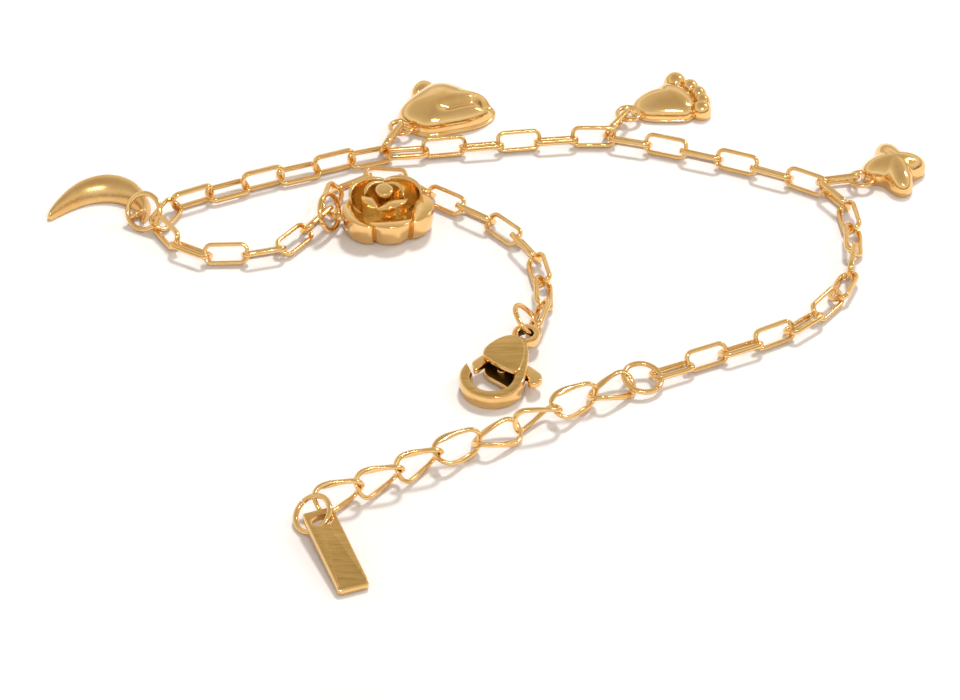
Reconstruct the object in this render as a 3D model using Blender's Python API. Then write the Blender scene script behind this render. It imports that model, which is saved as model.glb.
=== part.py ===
"""Charm bracelet lying open on a surface.

A paperclip chain with five puffed charms, a lobster clasp at one end and,
at the other, an extender of twisted curb links with a plain bar tag.
Lengths below are millimetres. The finished meshes are scaled to metres.
"""
import math

import bmesh
import bpy
from mathutils import Matrix, Vector

MM = 0.001
PLACE = Vector((-1.204, -4.189, 0.0))
WELD_DISTANCE = 0.0005

# Paperclip chain
LINK_LENGTH = 4.22
LINK_WIDTH = 2.10
LINK_WIRE = 0.40
LINK_BAND = 0.52
LINK_CORNER = 0.62
FLAT_LINK_HEIGHT = 0.62

# Extender chain
CURB_LENGTH = 4.66
CURB_WIDTH = 2.80
CURB_WIRE = 0.36
CURB_BAND = 0.56
CURB_CORNER = 1.05
CURB_TWIST = math.radians(42)
CURB_HEIGHT = 1.20

# Jump rings and soldered eyelets
RING_RADIUS = 1.70
RING_WIRE = 0.50
EYELET_RADIUS = 1.08
EYELET_WIRE = 0.46
RING_CLEARANCE = 0.20
EYELET_HEIGHT = 0.80

# Clasp
CLASP_HOOK_CENTRE = Vector((1.15, -5.55, 0.18))
CLASP_HEADING = math.radians(64)
CLASP_TILT = math.radians(4)
HOOK_OUTER = 2.95
HOOK_INNER = 1.85
HOOK_HEIGHT = 1.45
HOOD_TOP = 1.80
PLATE = 0.48
LEVER_BOTTOM = PLATE + 0.10
LEVER_TOP = HOOD_TOP - PLATE - 0.08
PIVOT = Vector((3.6, 0.5, 0.0))
PIN_RADIUS = 0.32
EYE_CENTRE = Vector((6.7, -0.1, 0.0))
EYE_OUTER = 1.28
EYE_INNER = 0.68

# Lever's room round its pin, and the slant of the hook's tip in degrees
PIN_CLEARANCE = 0.13
HOOK_SLANT = 24
EYE_LOW = 0.15
EYE_HIGH = 1.10

# How far the block stands back inside the plates, how much the hood's upper edge is
# drawn in and over what share of its thickness, and the rounding of the eye's edge
BLOCK_INSET = 0.10
HOOD_DRAW = 0.92
HOOD_EDGE = 0.2
EYE_ROUND = 0.15

# Charms
FRUIT_SIZE = 8.7
FRUIT_HEIGHT = 2.35
LEAF_SIZE = 2.4
LEAF_HEIGHT = 1.2
FOOT_SIZE = 6.1
FOOT_HEIGHT = 1.9
STAR_SIZE = 7.0
STAR_HEIGHT = 2.2
MOON_LENGTH = 8.4
MOON_DEPTH = 5.85
MOON_HEIGHT = 2.05
MOON_HEADING = math.radians(4)
MOON_FAN = 0.32
MOON_SPREAD = 0.65
MOON_EYELET = (-32.18, 19.35, 0.82)
MOON_EYELET_FACE = (0.50, -0.62, -0.61)
MOON_EYELET_RADIUS = 0.72
MOON_EYELET_WIRE = 0.44
MOON_TIP_OFFSET = (0.58, 0.65)
ROSE_RADIUS = 4.45
ROSE_HEIGHT = 3.4
ROSE_TURN = math.radians(-10)
PETAL_ROUND = 0.6
ROSE_EYELET = (-13.10, 18.61, 1.07)
ROSE_EYELET_FACE = (0.12, 0.50, 0.86)
ROSE_EYELET_RADIUS = 0.72
ROSE_EYELET_WIRE = 0.46
ROSE_OFFSET = (0.05, 0.19)

# Tag
TAG_LENGTH = 9.4
TAG_WIDTH = 2.75
TAG_THICK = 0.85
TAG_RIM = 0.10
TAG_LIFT = 0.90
TAG_REST = 0.04
TAG_HOLE_RUN = 1.25
TAG_HOLE_LENGTH = 1.3
TAG_HOLE_WIDTH = 1.95
TAG_TOP = (-13.95, -24.1)
TAG_END = (-10.7, -32.6)

GOLD = (0.72, 0.47, 0.17, 1.0)
GOLD_PALE = (0.76, 0.53, 0.24, 1.0)

# The chain's route on the surface, stretch by stretch from the clasp.
# Each stretch has its points and the roll in degrees of each of its links.
CHAIN = [
    ("from clasp to rose",
     [(4.9, 2.0), (5.8, 5.4), (5.8, 8.9), (5.2, 12.3), (3.5, 15.4), (1.3, 18.0), (-1.5, 20.2),
      (-4.3, 22.1), (-6.9, 24.8), (-10.4, 25.4), (-13.6, 23.4), (-14.3, 19.9)],
     [32, -50, 40, -45, 50, -42, 48, -40, 50, -40, 50]),
    ("from rose to moon",
     [(-14.3, 19.9), (-16.3, 16.8), (-18.6, 13.9), (-22.2, 13.1), (-25.6, 13.1), (-28.4, 14.9),
      (-30.2, 17.8)],
     [50, -32, 30, -60, 25, 78]),
    ("turn at the moon",
     [(-30.2, 17.8), (-28.7, 21.0)],
     [32]),
    ("from moon to fruit",
     [(-28.7, 21.0), (-25.6, 22.6), (-22.3, 24.1), (-19.0, 25.5), (-15.6, 26.8), (-12.2, 28.2),
      (-8.8, 29.3)],
     [78, 12, 78, 12, 78, 12]),
    ("from fruit to foot",
     [(-8.8, 29.3), (-5.2, 29.7), (-1.6, 30.2), (2.0, 30.7), (5.6, 31.2), (9.2, 31.6),
      (12.7, 31.6)],
     [-20, 70, -20, 70, -20, 70]),
    ("from foot to star",
     [(12.7, 31.6), (16.2, 30.6), (19.6, 29.4), (23.0, 28.1), (26.3, 26.7), (29.6, 25.1),
      (32.4, 23.4)],
     [-20, 70, -20, 70, -20, 70]),
    ("from star to extender",
     [(32.4, 23.4), (34.4, 20.4), (34.8, 16.8), (34.6, 13.4), (34.0, 10.1), (32.7, 6.9),
      (30.6, 4.1), (28.0, 1.7), (25.0, 0.0), (21.9, -1.5), (18.8, -3.0), (15.6, -4.5)],
     [-60, 40, -40, 78, 25, -50, 35, -60, 35, -40, 45]),
]

# Links that carry the fruit, foot and star: where each hangs on, where it points.
CONNECTORS = [
    ("fruit", (-9.3, 29.6, 1.08), (0.40, 0.90, 0.0), 82),
    ("foot", (12.2, 32.1, 1.08), (0.50, 0.84, 0.0), 82),
    ("star", (32.0, 24.2, 1.08), (0.97, 0.20, 0.0), 84),
]

# Extender route from the jump ring to the tag, and each curb link's roll in degrees.
EXTENDER = [(13.35, -5.2), (9.95, -7.6), (6.6, -9.9), (3.2, -12.0), (-0.2, -14.1), (-3.7, -16.3),
            (-7.0, -18.5), (-10.4, -20.6), (-13.9, -22.8)]
CURB_ROLLS = [-32, -32, -32, -32, -32, -32, -26, 14]


def clear_scene():
    for obj in list(bpy.data.objects):
        bpy.data.objects.remove(obj, do_unlink=True)


def new_collection(name):
    made = bpy.data.collections.new(name)
    bpy.context.scene.collection.children.link(made)
    return made


def gold(name, colour, roughness):
    made = bpy.data.materials.new(name)
    made.use_nodes = True
    shader = made.node_tree.nodes["Principled BSDF"]
    shader.inputs["Base Color"].default_value = colour
    shader.inputs["Metallic"].default_value = 1.0
    shader.inputs["Roughness"].default_value = roughness
    return made


clear_scene()
MODEL = new_collection("charm_bracelet")
POLISHED = gold("polished_gold", GOLD, 0.16)
SATIN = gold("satin_gold", GOLD_PALE, 0.32)


def add_object(name, mesh, material=None):
    made = bpy.data.objects.new(name, mesh)
    MODEL.objects.link(made)
    if material is not None:
        mesh.materials.clear()
        mesh.materials.append(material)
    return made


def evaluated_mesh(obj):
    """The object's mesh with its modifiers applied, the object itself removed."""
    bpy.context.view_layer.update()
    graph = bpy.context.evaluated_depsgraph_get()
    mesh = bpy.data.meshes.new_from_object(obj.evaluated_get(graph), depsgraph=graph)
    mesh.transform(obj.matrix_world)
    bpy.data.objects.remove(obj, do_unlink=True)
    return mesh


def weld(mesh, distance=WELD_DISTANCE):
    work = bmesh.new()
    work.from_mesh(mesh)
    bmesh.ops.remove_doubles(work, verts=work.verts, dist=distance)
    bmesh.ops.recalc_face_normals(work, faces=work.faces)
    work.to_mesh(mesh)
    work.free()
    return mesh


def boolean(mesh, other, operation):
    """One mesh combined with another by the exact solver."""
    body = add_object("work_body", mesh)
    tool = add_object("work_tool", other)
    step = body.modifiers.new("combine", "BOOLEAN")
    step.operation = operation
    step.object = tool
    step.solver = "EXACT"
    made = evaluated_mesh(body)
    bpy.data.objects.remove(tool, do_unlink=True)
    return made


def main_body(mesh):
    """The mesh without the loose slivers that crossing wires can leave."""
    work = bmesh.new()
    work.from_mesh(mesh)
    seen = set()
    groups = []
    for vert in work.verts:
        if vert in seen:
            continue
        group = [vert]
        seen.add(vert)
        for reached in group:
            for edge in reached.link_edges:
                other = edge.other_vert(reached)
                if other not in seen:
                    seen.add(other)
                    group.append(other)
        groups.append(group)
    groups.sort(key=len)
    for group in groups[:-1]:
        bmesh.ops.delete(work, geom=group, context="VERTS")
    work.to_mesh(mesh)
    work.free()
    return mesh


def united(meshes):
    made = meshes[0]
    for other in meshes[1:]:
        made = boolean(made, other, "UNION")
    return made


def merged(meshes):
    """Several meshes as one, without joining their surfaces."""
    work = bmesh.new()
    for mesh in meshes:
        work.from_mesh(mesh)
    made = bpy.data.meshes.new("merged")
    work.to_mesh(made)
    work.free()
    return made


def placed(mesh, matrix):
    made = mesh.copy()
    made.transform(matrix)
    return made


def frame_matrix(x_axis, z_axis, origin):
    """A placement with local X along x_axis and local Z as near z_axis as it can be."""
    x_dir = Vector(x_axis).normalized()
    z_dir = Vector(z_axis)
    z_dir = (z_dir - x_dir * z_dir.dot(x_dir)).normalized()
    y_dir = z_dir.cross(x_dir)
    made = Matrix((x_dir, y_dir, z_dir)).transposed().to_4x4()
    made.translation = Vector(origin)
    return made


def loft(name, rings):
    """A closed solid through rings of equal point counts, capped at both ends."""
    work = bmesh.new()
    rows = [[work.verts.new(point) for point in ring] for ring in rings]
    count = len(rows[0])
    for low, high in zip(rows, rows[1:]):
        for i in range(count):
            j = (i + 1) % count
            work.faces.new((low[i], low[j], high[j], high[i]))
    work.faces.new(list(reversed(rows[0])))
    work.faces.new(rows[-1])
    bmesh.ops.recalc_face_normals(work, faces=work.faces)
    mesh = bpy.data.meshes.new(name)
    work.to_mesh(mesh)
    work.free()
    return mesh


def finish(name, mesh, material, pivot=None):
    """The named piece in metres, in its place, with its origin on its pivot."""
    origin = Vector(pivot) if pivot is not None else Vector((0.0, 0.0, 0.0))
    mesh.transform(Matrix.Translation(PLACE))
    if pivot is not None:
        origin = origin + PLACE
        mesh.transform(Matrix.Translation(-origin))
    mesh.transform(Matrix.Scale(MM, 4))
    mesh.name = name
    obj = add_object(name, mesh, material)
    obj.location = origin * MM
    mesh.shade_smooth()
    mesh.set_sharp_from_angle(angle=math.radians(40))
    return obj


# Links and rings

def wire_link(length, width, wire, band, corner):
    """A flat closed link along X: round-cornered loop of band-shaped wire."""
    half_l = (length - wire) / 2
    half_w = (width - wire) / 2
    near, far = corner * (1 - math.cos(math.radians(20))), corner * (1 - math.sin(math.radians(20)))
    end = [(half_l - far, -half_w + near), (half_l - near, -half_w + far), (half_l, 0.0),
           (half_l - near, half_w - far), (half_l - far, half_w - near)]
    points = [(x, y, 0.0, 1.0) for x, y in end] + [(-x, -y, 0.0, 1.0) for x, y in end]
    curve = bpy.data.curves.new("link_path", "CURVE")
    curve.dimensions = "3D"
    curve.bevel_depth = wire / 2
    curve.bevel_resolution = 1
    spline = curve.splines.new("POLY")
    spline.points.add(len(points) - 1)
    for target, point in zip(spline.points, points):
        target.co = point
    spline.use_cyclic_u = True
    mesh = weld(evaluated_mesh(add_object("link_tube", curve)))
    mesh.transform(Matrix.Diagonal((1.0, 1.0, band / wire, 1.0)))
    return mesh


def twist_along_x(mesh, half_length, twist):
    for vert in mesh.vertices:
        turn = twist * vert.co.x / half_length
        y, z = vert.co.y, vert.co.z
        vert.co.y = y * math.cos(turn) - z * math.sin(turn)
        vert.co.z = y * math.sin(turn) + z * math.cos(turn)
    return mesh


def torus(radius, wire, segments=18, sides=6):
    bpy.ops.mesh.primitive_torus_add(major_radius=radius, minor_radius=wire / 2,
                                     major_segments=segments, minor_segments=sides)
    obj = bpy.context.object
    mesh = obj.data.copy()
    bpy.data.objects.remove(obj, do_unlink=True)
    return mesh


def ring_at(centre, normal, radius=RING_RADIUS, wire=RING_WIRE):
    turn = Vector((0.0, 0.0, 1.0)).rotation_difference(Vector(normal).normalized())
    return placed(torus(radius, wire), Matrix.Translation(Vector(centre)) @ turn.to_matrix().to_4x4())


def even_points(points, count):
    """Points along a smooth curve through the given ones, with equal steps between them."""
    fine = []
    last = len(points) - 1
    for i in range(last):
        a, b = Vector(points[max(i - 1, 0)]), Vector(points[i])
        c, d = Vector(points[i + 1]), Vector(points[min(i + 2, last)])
        for k in range(24):
            t = k / 24
            fine.append(0.5 * (2 * b + (c - a) * t + (2 * a - 5 * b + 4 * c - d) * t * t
                               + (3 * b - a - 3 * c + d) * t ** 3))
    fine.append(Vector(points[-1]))
    runs = [0.0]
    for p, q in zip(fine, fine[1:]):
        runs.append(runs[-1] + (q - p).length)
    made = []
    k = 0
    for n in range(count + 1):
        want = runs[-1] * n / count
        while k < len(runs) - 2 and runs[k + 1] < want:
            k += 1
        made.append(fine[k].lerp(fine[k + 1], (want - runs[k]) / (runs[k + 1] - runs[k])))
    return made


def link_height(roll):
    """How high a link's centre line lies when it rests on the surface."""
    turn = math.radians(roll)
    rest = (LINK_WIDTH * abs(math.sin(turn)) + LINK_BAND * abs(math.cos(turn))) / 2
    return max(rest, FLAT_LINK_HEIGHT)


def link_matrix(start, end, roll, height):
    """Placement of a link between two points, turned about its length by the roll."""
    axis = Vector((end[0] - start[0], end[1] - start[1], 0.0)).normalized()
    side = Vector((0.0, 0.0, 1.0)).cross(axis)
    turn = math.radians(roll)
    normal = Vector((0.0, 0.0, 1.0)) * math.cos(turn) - side * math.sin(turn)
    centre = ((start[0] + end[0]) / 2, (start[1] + end[1]) / 2, height)
    return frame_matrix(axis, normal, centre)


def chain_placements():
    made = []
    for _name, route, rolls in CHAIN:
        knots = even_points(route, len(rolls))
        for start, end, roll in zip(knots, knots[1:], rolls):
            made.append(link_matrix(start, end, roll, link_height(roll)))
    return made


def connector_matrix(root, heading, roll):
    axis = Vector(heading).normalized()
    side = Vector((0.0, 0.0, 1.0)).cross(axis).normalized()
    up = axis.cross(side)
    turn = math.radians(roll)
    normal = up * math.cos(turn) - side * math.sin(turn)
    centre = Vector(root) + axis * (LINK_LENGTH - LINK_WIRE) / 2
    return frame_matrix(axis, normal, centre)


def connector_end(root, heading):
    """The middle of the end bar that holds the charm's eyelet."""
    return Vector(root) + Vector(heading).normalized() * (LINK_LENGTH - LINK_WIRE)


link = wire_link(LINK_LENGTH, LINK_WIDTH, LINK_WIRE, LINK_BAND, LINK_CORNER)
placements = chain_placements()
odd = merged([placed(link, m) for m in placements[0::2]])
even = merged([placed(link, m) for m in placements[1::2]])
chain = boolean(odd, even, "UNION")
for _name, root, heading, roll in CONNECTORS:
    chain = boolean(chain, placed(link, connector_matrix(root, heading, roll)), "UNION")
finish("chain", main_body(chain), POLISHED)

curb = wire_link(CURB_LENGTH, CURB_WIDTH, CURB_WIRE, CURB_BAND, CURB_CORNER)
twist_along_x(curb, CURB_LENGTH / 2, CURB_TWIST)
knots = even_points(EXTENDER, len(CURB_ROLLS))
curbs = [placed(curb, link_matrix(start, end, roll, CURB_HEIGHT))
         for start, end, roll in zip(knots, knots[1:], CURB_ROLLS)]
finish("extender_chain", boolean(merged(curbs[0::2]), merged(curbs[1::2]), "UNION"), POLISHED)


# Jump rings

# Each ring's centre and the direction its flat side faces.
RINGS = [
    ("clasp_ring", (4.68, 1.63, 1.95), (-0.92, 0.34, 0.20)),
    ("rose_ring", (-14.56, 18.39, 1.90), (0.37, -0.83, 0.40)),
    ("moon_ring", (-31.03, 19.27, 1.92), (-0.32, -0.90, 0.31)),
    ("extender_ring", (14.46, -4.92, 1.00), (0.14, -0.15, 0.98)),
    ("tag_ring", (-13.62, -23.90, 1.81), (0.88, -0.13, 0.45)),
]
for ring_name, centre, normal in RINGS:
    finish(ring_name, ring_at(centre, normal), POLISHED)


# Puffed charms

# How the top of a charm swells: share of the outline, share of the height.
PUFF = [(0.95, 0.0), (1.0, 0.08), (1.0, 0.24), (0.93, 0.52), (0.78, 0.76), (0.56, 0.92),
        (0.28, 0.99)]

# Outlines as shares of the charm's size, measured from its middle.
FRUIT_OUTLINE = [(-0.46, -0.30), (-0.29, -0.46), (-0.10, -0.49), (0.10, -0.43), (0.30, -0.37),
                 (0.43, -0.26), (0.51, -0.09), (0.46, 0.06), (0.31, 0.20), (0.20, 0.33),
                 (0.08, 0.46), (-0.08, 0.43), (-0.26, 0.32), (-0.43, 0.11), (-0.49, -0.10)]
LEAF_OUTLINE = [(0.33, -0.17), (0.29, 0.33), (-0.04, 0.50), (-0.38, 0.21), (-0.33, -0.33),
                (0.0, -0.50)]
SOLE_OUTLINE = [(-0.50, -0.33), (-0.33, -0.46), (-0.03, -0.49), (0.26, -0.46), (0.38, -0.26),
                (0.38, 0.02), (0.28, 0.30), (0.10, 0.49), (-0.07, 0.51), (-0.23, 0.30),
                (-0.43, 0.15), (-0.56, -0.10)]
STAR_OUTLINE = [(-0.44, -0.06), (-0.37, 0.10), (-0.17, 0.20), (-0.17, 0.39), (-0.07, 0.51),
                (0.06, 0.47), (0.14, 0.27), (0.34, 0.27), (0.43, 0.13), (0.36, -0.04),
                (0.19, -0.17), (0.17, -0.41), (0.07, -0.54), (-0.06, -0.49), (-0.16, -0.26),
                (-0.33, -0.24)]

# Toes from the big one to the little one: place and radius as shares of the foot's length,
# height as a share of the foot's height.
TOES = [(0.115, 0.570, 0.172, 0.92), (0.330, 0.390, 0.138, 0.82), (0.440, 0.185, 0.132, 0.80),
        (0.485, -0.016, 0.125, 0.76), (0.480, -0.240, 0.141, 0.78)]


def closed_curve(points, count):
    """Evenly spaced points round a smooth closed curve through the given ones."""
    size = len(points)
    fine = []
    for i in range(size):
        a, b, c, d = (Vector(points[(i + k) % size]) for k in (-1, 0, 1, 2))
        for k in range(16):
            t = k / 16
            fine.append(0.5 * (2 * b + (c - a) * t + (2 * a - 5 * b + 4 * c - d) * t * t
                               + (3 * b - a - 3 * c + d) * t ** 3))
    fine.append(fine[0])
    runs = [0.0]
    for p, q in zip(fine, fine[1:]):
        runs.append(runs[-1] + (q - p).length)
    made = []
    k = 0
    for n in range(count):
        want = runs[-1] * n / count
        while runs[k + 1] < want:
            k += 1
        made.append(fine[k].lerp(fine[k + 1], (want - runs[k]) / (runs[k + 1] - runs[k])))
    return made


def puffed(name, outline, count, middle, size, height):
    """A flat-backed charm whose top swells from its outline to a rounded middle."""
    ring = closed_curve([Vector((x * size, y * size, 0.0)) for x, y in outline], count)
    rings = []
    for scale, level in PUFF:
        rise = Vector((middle[0], middle[1], height * level))
        rings.append([point * scale + rise for point in ring])
    return loft(name, rings)


def eyelet_centre(name):
    """Middle of the soldered ring in which the named connector's end bar lies."""
    for label, root, heading, _roll in CONNECTORS:
        if label == name:
            offset = EYELET_RADIUS - (LINK_WIRE + EYELET_WIRE) / 2 - RING_CLEARANCE
            centre = connector_end(root, heading) + Vector(heading).normalized() * offset
            return Vector((centre.x, centre.y, EYELET_HEIGHT))
    return None


def flat_eyelet(name):
    return ring_at(eyelet_centre(name), (0.0, 0.0, 1.0), EYELET_RADIUS, EYELET_WIRE)


def beside(anchor, shares, size):
    """A charm's middle, its offset from the eyelet given as shares of its size."""
    return (anchor[0] + shares[0] * size, anchor[1] + shares[1] * size)


fruit_middle = beside(eyelet_centre("fruit"), (0.50, 0.40), FRUIT_SIZE)
leaf_middle = beside(fruit_middle, (-0.17, 0.40), FRUIT_SIZE)
fruit = united([puffed("fruit", FRUIT_OUTLINE, 28, fruit_middle, FRUIT_SIZE, FRUIT_HEIGHT),
                puffed("leaf", LEAF_OUTLINE, 12, leaf_middle, LEAF_SIZE, LEAF_HEIGHT),
                flat_eyelet("fruit")])
finish("fruit_charm", fruit, POLISHED)

foot_middle = beside(eyelet_centre("foot"), (0.61, 0.26), FOOT_SIZE)
foot = puffed("sole", SOLE_OUTLINE, 24, foot_middle, FOOT_SIZE, FOOT_HEIGHT)
for across, along, radius, height in TOES:
    circle = [(math.cos(math.radians(60 * k)), math.sin(math.radians(60 * k))) for k in range(6)]
    toe = puffed("toe", circle, 10, beside(foot_middle, (across, along), FOOT_SIZE),
                 radius * FOOT_SIZE, height * FOOT_HEIGHT)
    foot = boolean(foot, toe, "UNION")
finish("foot_charm", boolean(foot, flat_eyelet("foot"), "UNION"), POLISHED)

star_middle = beside(eyelet_centre("star"), (0.56, 0.15), STAR_SIZE)
star = boolean(puffed("star", STAR_OUTLINE, 34, star_middle, STAR_SIZE, STAR_HEIGHT),
               flat_eyelet("star"), "UNION")
finish("star_charm", star, POLISHED)


# Moon

# Run from the left tip, inner and outer edge and height, as shares of the moon's
# length, its depth (twice) and its height.
MOON_STATIONS = [
    (0.00, 0.00, 0.03, 0.17),
    (0.06, 0.04, 0.19, 0.37),
    (0.16, 0.16, 0.47, 0.61),
    (0.30, 0.29, 0.78, 0.85),
    (0.44, 0.38, 0.96, 0.98),
    (0.58, 0.40, 1.00, 1.00),
    (0.72, 0.34, 0.90, 0.90),
    (0.84, 0.22, 0.68, 0.73),
    (0.93, 0.10, 0.42, 0.54),
    (0.985, 0.01, 0.16, 0.40),
    (1.000, -0.04, 0.03, 0.30),
]
# Share of the way from the inner edge to the outer one, and share of the height.
MOON_SECTION = [(0.04, 0.0), (0.0, 0.12), (0.03, 0.40), (0.16, 0.74), (0.36, 0.96), (0.60, 0.98),
                (0.82, 0.76), (0.96, 0.44), (1.0, 0.14), (0.96, 0.0)]


def moon_mesh(right_tip, heading):
    """A crescent lofted from one tip to the other."""
    along = Vector((math.cos(heading), math.sin(heading), 0.0))
    rise = Vector((0.0, 0.0, 1.0))
    across = rise.cross(along)
    rings = []
    for run, inner, outer, height in MOON_STATIONS:
        spread = 0.5 - 0.5 * math.cos(math.pi * run)
        share = (1 - MOON_SPREAD) * run + MOON_SPREAD * spread
        middle = right_tip + along * MOON_LENGTH * (share - 1.0)
        lean = (run - 0.5) * MOON_LENGTH * MOON_FAN
        ring = []
        for part, level in MOON_SECTION:
            reach = MOON_DEPTH * (inner + (outer - inner) * part)
            ring.append(middle + across * reach + along * lean * (part - 0.5)
                        + rise * MOON_HEIGHT * height * level)
        rings.append(ring)
    return loft("moon", rings)


moon_eyelet = ring_at(MOON_EYELET, MOON_EYELET_FACE, MOON_EYELET_RADIUS, MOON_EYELET_WIRE)
moon_tip = Vector((MOON_EYELET[0] + MOON_TIP_OFFSET[0], MOON_EYELET[1] + MOON_TIP_OFFSET[1], 0.0))
moon = boolean(moon_mesh(moon_tip, MOON_HEADING), moon_eyelet, "UNION")
finish("moon_charm", moon, SATIN)


# Rose

# From the underside round the rim and in to the bud: shares of the rose's radius and
# height, depth of the scallops as a share of the radius there, petals, turn in degrees.
ROSE_PROFILE = [
    (0.58, 0.006, 0.02, 5, 0),
    (0.75, 0.08, 0.08, 5, 0),
    (0.865, 0.32, 0.11, 5, 0),
    (0.955, 0.65, 0.13, 5, 0),
    (0.993, 0.80, 0.13, 5, 0),
    (0.944, 0.87, 0.13, 5, 0),
    (0.854, 0.82, 0.13, 5, 0),
    (0.708, 0.52, 0.10, 5, 0),
    (0.618, 0.50, 0.10, 4, 30),
    (0.596, 0.81, 0.13, 4, 30),
    (0.528, 0.90, 0.13, 4, 30),
    (0.461, 0.84, 0.13, 4, 30),
    (0.348, 0.59, 0.06, 4, 30),
    (0.225, 0.575, 0.0, 4, 30),
    (0.207, 0.90, 0.0, 4, 30),
    (0.157, 0.97, 0.0, 4, 30),
    (0.067, 0.995, 0.0, 4, 30),
]


def rose_mesh(middle, count=30):
    """Two tiers of petals round a bud, lofted outwards, over the rim and in."""
    rings = []
    for radius, height, depth, petals, turn in ROSE_PROFILE:
        ring = []
        for i in range(count):
            angle = 2 * math.pi * i / count
            wave = abs(math.cos(petals * (angle - math.radians(turn)) / 2)) ** PETAL_ROUND
            reach = ROSE_RADIUS * radius * (1 - depth * (1 - wave))
            ring.append(Vector((reach * math.cos(angle), reach * math.sin(angle),
                                ROSE_HEIGHT * height)))
        rings.append(ring)
    mesh = loft("rose", rings)
    mesh.transform(Matrix.Translation(middle) @ Matrix.Rotation(ROSE_TURN, 4, "Z"))
    return mesh


rose_middle = Vector((ROSE_EYELET[0] + ROSE_RADIUS + ROSE_OFFSET[0],
                      ROSE_EYELET[1] + ROSE_OFFSET[1], 0.0))
rose_eyelet = ring_at(ROSE_EYELET, ROSE_EYELET_FACE, ROSE_EYELET_RADIUS, ROSE_EYELET_WIRE)
rose = boolean(rose_mesh(rose_middle), rose_eyelet, "UNION")
finish("rose_charm", rose, POLISHED)


# Clasp, drawn flat with its hook ring round the origin and its eye along +X

# Outline of both plates: from the gate's side round the eye's end to the thumb's side.
PLATE_OUTLINE = [(2.86, 2.23), (2.00, 0.10), (1.20, -1.75), (0.62, -2.00), (0.95, -2.72),
                 (1.42, -2.56), (1.95, -2.28), (3.30, -1.85), (5.43, -0.53), (5.94, 1.17)]
BLOCK_OUTLINE = [(4.62, 1.50), (4.62, -0.90), (5.36, -0.46), (5.84, 1.10)]
LEVER_OUTLINE = [(1.12, 2.58), (0.02, 1.86), (0.40, 1.76), (2.35, 1.05), (2.35, 0.10), (1.48, -1.60),
                 (1.32, -2.90), (0.52, -3.22), (0.95, -3.92), (1.72, -4.12), (2.50, -3.62),
                 (2.95, -2.60), (3.05, -1.20), (4.30, 0.05), (4.38, 0.80), (3.90, 1.28),
                 (2.95, 1.75)]
HOOK_START = 77
HOOK_STOP = 292


def prism(name, outline, low, high, top_scale=1.0):
    """A plate between two heights, its upper edge drawn in where top_scale is under 1."""
    middle = Vector((sum(p[0] for p in outline) / len(outline),
                     sum(p[1] for p in outline) / len(outline)))
    levels = [(low, 1.0), (high, 1.0)]
    if top_scale < 1.0:
        levels = [(low, 1.0), (high - HOOD_EDGE * (high - low), 1.0), (high, top_scale)]
    rings = []
    for level, scale in levels:
        ring = [middle + (Vector(point) - middle) * scale for point in outline]
        rings.append([Vector((p.x, p.y, level)) for p in ring])
    return loft(name, rings)


def tube(name, centre, outer, inner, low, high, count=20):
    """An upright ring with an open bore."""
    section = [(outer, low), (outer, high - EYE_ROUND), (outer - EYE_ROUND, high), (inner, high),
               (inner, low)]
    work = bmesh.new()
    rows = []
    for i in range(count):
        angle = 2 * math.pi * i / count
        rows.append([work.verts.new((centre.x + r * math.cos(angle), centre.y + r * math.sin(angle), z))
                     for r, z in section])
    for i in range(count):
        here, there = rows[i], rows[(i + 1) % count]
        for k in range(len(section)):
            n = (k + 1) % len(section)
            work.faces.new((here[k], there[k], there[n], here[n]))
    bmesh.ops.recalc_face_normals(work, faces=work.faces)
    mesh = bpy.data.meshes.new(name)
    work.to_mesh(mesh)
    work.free()
    return mesh


def hook_mesh(count=18):
    """The open hook: a rounded bar swept round the origin, its tip cut on a slant."""
    half = (HOOK_OUTER - HOOK_INNER) / 2
    middle = (HOOK_OUTER + HOOK_INNER) / 2
    section = [(-1.0, 0.04), (-1.0, 0.92), (-0.6, 1.0), (0.5, 1.0), (1.0, 0.85), (1.0, 0.04)]
    rings = []
    for i in range(count + 1):
        share = i / count
        ring = []
        for part, level in section:
            start = HOOK_START + HOOK_SLANT * (1 - part) / 2
            angle = math.radians(start + (HOOK_STOP - start) * share)
            reach = middle + half * part
            ring.append(Vector((reach * math.cos(angle), reach * math.sin(angle),
                                HOOK_HEIGHT * level)))
        rings.append(ring)
    return loft("hook", rings)


def cylinder(name, centre, radius, low, high, count=16):
    circle = [(centre.x + radius * math.cos(2 * math.pi * i / count),
               centre.y + radius * math.sin(2 * math.pi * i / count)) for i in range(count)]
    return prism(name, circle, low, high)


clasp_place = (Matrix.Translation(CLASP_HOOK_CENTRE) @ Matrix.Rotation(CLASP_HEADING, 4, "Z")
               @ Matrix.Rotation(-CLASP_TILT, 4, "Y"))
clasp = united([
    hook_mesh(),
    prism("lower_plate", PLATE_OUTLINE, 0.0, PLATE),
    prism("hood", PLATE_OUTLINE, HOOD_TOP - PLATE, HOOD_TOP, HOOD_DRAW),
    prism("block", BLOCK_OUTLINE, BLOCK_INSET, HOOD_TOP - BLOCK_INSET),
    tube("eye", EYE_CENTRE, EYE_OUTER, EYE_INNER, EYE_LOW, EYE_HIGH),
    cylinder("pin", PIVOT, PIN_RADIUS, PLATE / 2, HOOD_TOP - PLATE / 2),
])
finish("clasp_body", placed(clasp, clasp_place), POLISHED)

lever = boolean(prism("lever", LEVER_OUTLINE, LEVER_BOTTOM, LEVER_TOP),
                cylinder("pin_hole", PIVOT, PIN_RADIUS + PIN_CLEARANCE, 0.0, HOOD_TOP), "DIFFERENCE")
pivot_place = clasp_place @ Vector((PIVOT.x, PIVOT.y, (LEVER_BOTTOM + LEVER_TOP) / 2))
finish("clasp_lever", placed(lever, clasp_place), POLISHED, pivot_place)


# Tag, a plain bar with a slot near the end that hangs on its ring

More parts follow.
